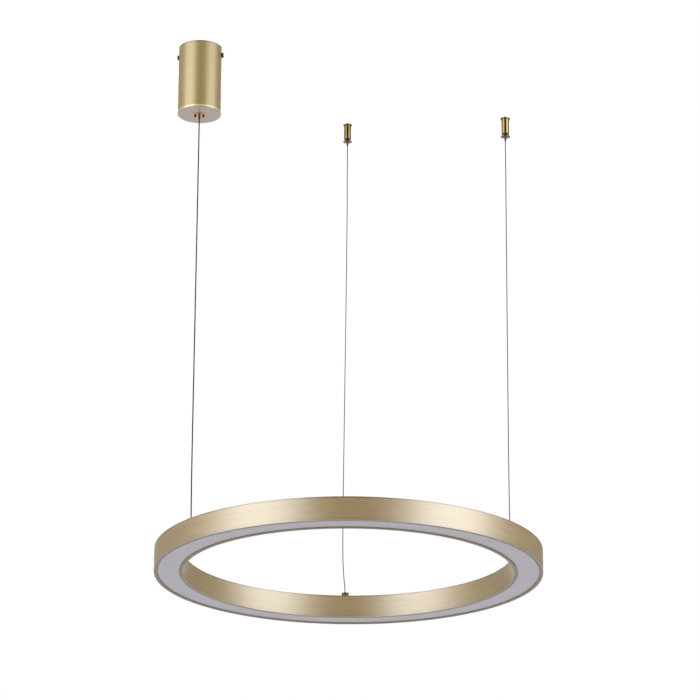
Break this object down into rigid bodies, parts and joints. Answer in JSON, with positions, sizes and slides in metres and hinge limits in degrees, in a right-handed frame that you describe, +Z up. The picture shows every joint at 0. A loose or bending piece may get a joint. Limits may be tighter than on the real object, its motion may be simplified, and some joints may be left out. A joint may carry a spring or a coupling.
{
  "type": "led ring pendant light",
  "caption": "Level LED ring pendant in brushed gold, hung on thin lines from a cylindrical ceiling canopy and slim adjustable wire grips.",
  "frame": {"origin": "centre of the canopy bracket's ceiling face", "axes": "+Z up, out of the ceiling face and along the hanging lines; +X towards the right grip; +Y towards the far side of the ring"},
  "size_m": [0.5999, 0.5999, 0.8698],
  "materials": {
    "brushed_gold": "gold anodised aluminium, brushed along the ring",
    "satin_gold": "satin gold anodised aluminium, brushed round",
    "polished_gold": "polished gold plated brass",
    "copper_gold": "polished brass with a copper tint",
    "dark_bronze": "dark bronze",
    "black_screw": "blackened steel",
    "zinc_steel": "zinc plated steel",
    "wire_steel": "stranded steel wire",
    "bare_aluminium": "mill finish",
    "cable_jacket": "smoky PVC jacket",
    "opal_diffuser": "opal acrylic, unlit",
    "white_plastic": "moulded",
    "led_phosphor": "phosphor under clear resin",
    "brown_lead": "PVC insulation",
    "blue_lead": "PVC insulation",
    "red_lead": "PVC insulation",
    "black_lead": "PVC insulation"
  },
  "bodies": {
    "bracket": {"ceiling_bracket": "zinc_steel", "bracket_screws": "zinc_steel", "driver_hanger": "zinc_steel", "led_driver": "white_plastic", "driver_screws": "zinc_steel", "terminal_block": "white_plastic", "clamp_screws": "zinc_steel", "input_lead_live": "brown_lead", "input_lead_neutral": "blue_lead", "output_lead_plus": "red_lead", "output_lead_minus": "black_lead", "output_socket": "white_plastic"},
    "cover": {"canopy_cover": "satin_gold", "side_screw_nuts": "zinc_steel", "outlet_flange": "copper_gold", "outlet_screws": "dark_bronze", "cable_grip_block": "zinc_steel", "cable_grip_cap": "zinc_steel", "cable_grip_spring": "zinc_steel", "cable_tail": "cable_jacket", "cable_plug": "white_plastic"},
    "side_screw_right": {"side_screw_right": "black_screw"},
    "side_screw_left": {"side_screw_left": "black_screw"},
    "cable_release": {"cable_cage": "dark_bronze", "cable_balls": "zinc_steel"},
    "ring": {"ring_channel": "brushed_gold", "ring_diffuser": "opal_diffuser", "led_tray": "bare_aluminium", "tray_spacers": "zinc_steel", "tray_screws": "zinc_steel", "led_strip": "white_plastic", "led_chips": "led_phosphor", "feed_terminal": "white_plastic", "feed_lead_plus": "red_lead", "feed_lead_minus": "black_lead", "cable_gland": "copper_gold", "far_socket": "copper_gold", "right_socket": "copper_gold", "fitting_nuts": "zinc_steel", "cable_stop": "zinc_steel", "wire_ferrules": "wire_steel", "power_cable": "cable_jacket", "far_wire": "wire_steel", "right_wire": "wire_steel"},
    "far_grip": {"far_cap": "polished_gold", "far_barrel": "polished_gold", "far_spring": "zinc_steel"},
    "far_release": {"far_cage": "polished_gold", "far_collar": "polished_gold", "far_balls": "zinc_steel"},
    "right_grip": {"right_cap": "polished_gold", "right_barrel": "polished_gold", "right_spring": "zinc_steel"},
    "right_release": {"right_cage": "polished_gold", "right_collar": "polished_gold", "right_balls": "zinc_steel"}
  },
  "joints": [
    {"name": "cover_drop", "type": "slide", "parent": "bracket", "child": "cover", "axis": [0, 0, 1], "range_m": [-0.09, 0]},
    {"name": "side_screw_right_turn", "type": "hinge", "parent": "cover", "child": "side_screw_right", "pos_m": [0, 0, -0.014], "axis": [0.9848, -0.1736, 0], "continuous": true},
    {"name": "side_screw_left_turn", "type": "hinge", "parent": "cover", "child": "side_screw_left", "pos_m": [0, 0, -0.014], "axis": [-0.9848, 0.1736, 0], "continuous": true},
    {"name": "cable_release_push", "type": "slide", "parent": "cover", "child": "cable_release", "axis": [0, 0, 1], "range_m": [0, 0.0015], "stiffness_N_per_m": 300, "springref_m": -0.004, "deforming": ["cable_grip_spring"]},
    {"name": "ring_height", "type": "slide", "parent": "cover", "child": "ring", "axis": [0, 0, 1], "range_m": [0, 0.2], "deforming": ["power_cable"]},
    {"name": "far_grip_slide", "type": "slide", "parent": "ring", "child": "far_grip", "axis": [0, 0, -1], "range_m": [0, 0.2488], "deforming": ["far_wire"]},
    {"name": "far_release_push", "type": "slide", "parent": "far_grip", "child": "far_release", "axis": [0, 0, 1], "range_m": [0, 0.002], "stiffness_N_per_m": 300, "springref_m": -0.004, "deforming": ["far_spring"]},
    {"name": "right_grip_slide", "type": "slide", "parent": "ring", "child": "right_grip", "axis": [0, 0, -1], "range_m": [0, 0.0866], "deforming": ["right_wire"]},
    {"name": "right_release_push", "type": "slide", "parent": "right_grip", "child": "right_release", "axis": [0, 0, 1], "range_m": [0, 0.002], "stiffness_N_per_m": 300, "springref_m": -0.004, "deforming": ["right_spring"]}
  ]
}
